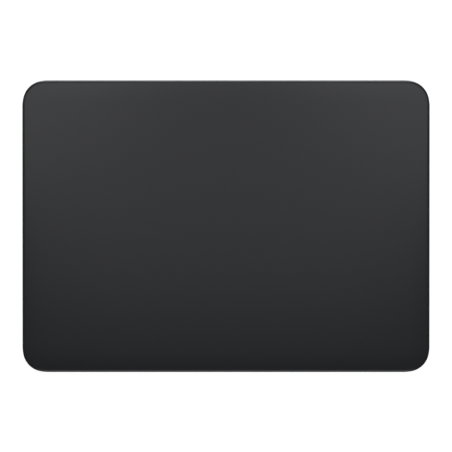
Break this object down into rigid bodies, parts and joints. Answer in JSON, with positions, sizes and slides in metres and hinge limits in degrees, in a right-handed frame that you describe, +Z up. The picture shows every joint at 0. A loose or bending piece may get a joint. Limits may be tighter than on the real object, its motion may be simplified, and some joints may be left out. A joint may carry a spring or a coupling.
{
  "type": "trackpad",
  "caption": "Thin wedge-shaped desk trackpad with a dark glass touch surface over the whole top, aluminium housing, sprung press and haptic action, rear charging port and slide switch.",
  "frame": {"origin": "on the desk, under the middle of the outline", "axes": "+X to the right along the long side, +Y to the rear wall with the port and the switch, +Z up"},
  "size_m": [0.16, 0.1149, 0.0109],
  "materials": {
    "housing": "satin",
    "cover_plastic": "matte",
    "adhesive": "matte",
    "foot_rubber": "matte",
    "spring_steel": "satin",
    "gauge_film": "satin",
    "screw_steel": "satin",
    "plate_steel": "satin",
    "core_steel": "matte",
    "coil_copper": "gloss",
    "flat_cable": "satin",
    "port_steel": "satin",
    "port_plastic": "matte",
    "contact_gold": "gloss",
    "switch_plastic": "matte",
    "pouch_foil": "satin",
    "board_green": "satin",
    "board_black": "satin",
    "shield_steel": "satin",
    "chip_plastic": "matte",
    "socket_plastic": "matte",
    "gel": "gloss",
    "touch_glass": "satin",
    "knob_plastic": "satin",
    "marker_green": "satin"
  },
  "bodies": {
    "base": {"housing": "housing", "bottom_cover": "cover_plastic", "cover_adhesive": "adhesive", "foot_front_left": "foot_rubber", "foot_front_right": "foot_rubber", "foot_rear_left": "foot_rubber", "foot_rear_right": "foot_rubber", "flexure_front_left": "spring_steel", "flexure_front_right": "spring_steel", "flexure_rear_left": "spring_steel", "flexure_rear_right": "spring_steel", "strain_gauges": "gauge_film", "flexure_screws": "screw_steel", "actuator_base": "plate_steel", "actuator_core_left": "core_steel", "actuator_core_right": "core_steel", "coil_left": "coil_copper", "coil_right": "coil_copper", "actuator_screws": "screw_steel", "actuator_lead": "flat_cable", "port_shell": "port_steel", "port_tongue": "port_plastic", "port_contacts": "contact_gold", "port_bracket": "plate_steel", "port_screws": "screw_steel", "port_flex": "flat_cable", "switch_body": "switch_plastic", "switch_screws": "screw_steel", "switch_flex": "flat_cable", "battery_cell": "pouch_foil", "battery_adhesive": "adhesive", "battery_protection_board": "board_green", "battery_lead": "flat_cable", "logic_board": "board_black", "board_screws": "screw_steel", "processor_shield": "shield_steel", "power_shield": "shield_steel", "board_chips": "chip_plastic", "board_sockets": "socket_plastic", "antenna": "board_black", "antenna_flex": "flat_cable", "sensor_flex": "flat_cable"},
    "press_frame": {"support_plate": "plate_steel", "gel_pads": "gel", "flexure_spacers": "plate_steel"},
    "touch_plate": {"glass_surface": "touch_glass", "sensor_adhesive": "adhesive", "sensor_board": "board_black", "touch_chips": "chip_plastic", "armature": "core_steel", "sensor_socket": "socket_plastic"},
    "switch_slider": {"switch_slider": "knob_plastic", "switch_marker": "marker_green"}
  },
  "joints": [
    {"name": "press_slide", "type": "slide", "parent": "base", "child": "press_frame", "axis": [0, 0.0524, -0.9986], "range_m": [0, 0.0002], "stiffness_N_per_m": 6000, "springref_m": -0.0002, "deforming": ["flexure_front_left", "flexure_front_right", "flexure_rear_left", "flexure_rear_right", "sensor_flex"]},
    {"name": "haptic_slide", "type": "slide", "parent": "press_frame", "child": "touch_plate", "axis": [1, 0, 0], "range_m": [-0.0001, 0.0001], "stiffness_N_per_m": 10000},
    {"name": "switch_slide", "type": "slide", "parent": "base", "child": "switch_slider", "axis": [-1, 0, 0], "range_m": [0, 0.0024]}
  ]
}
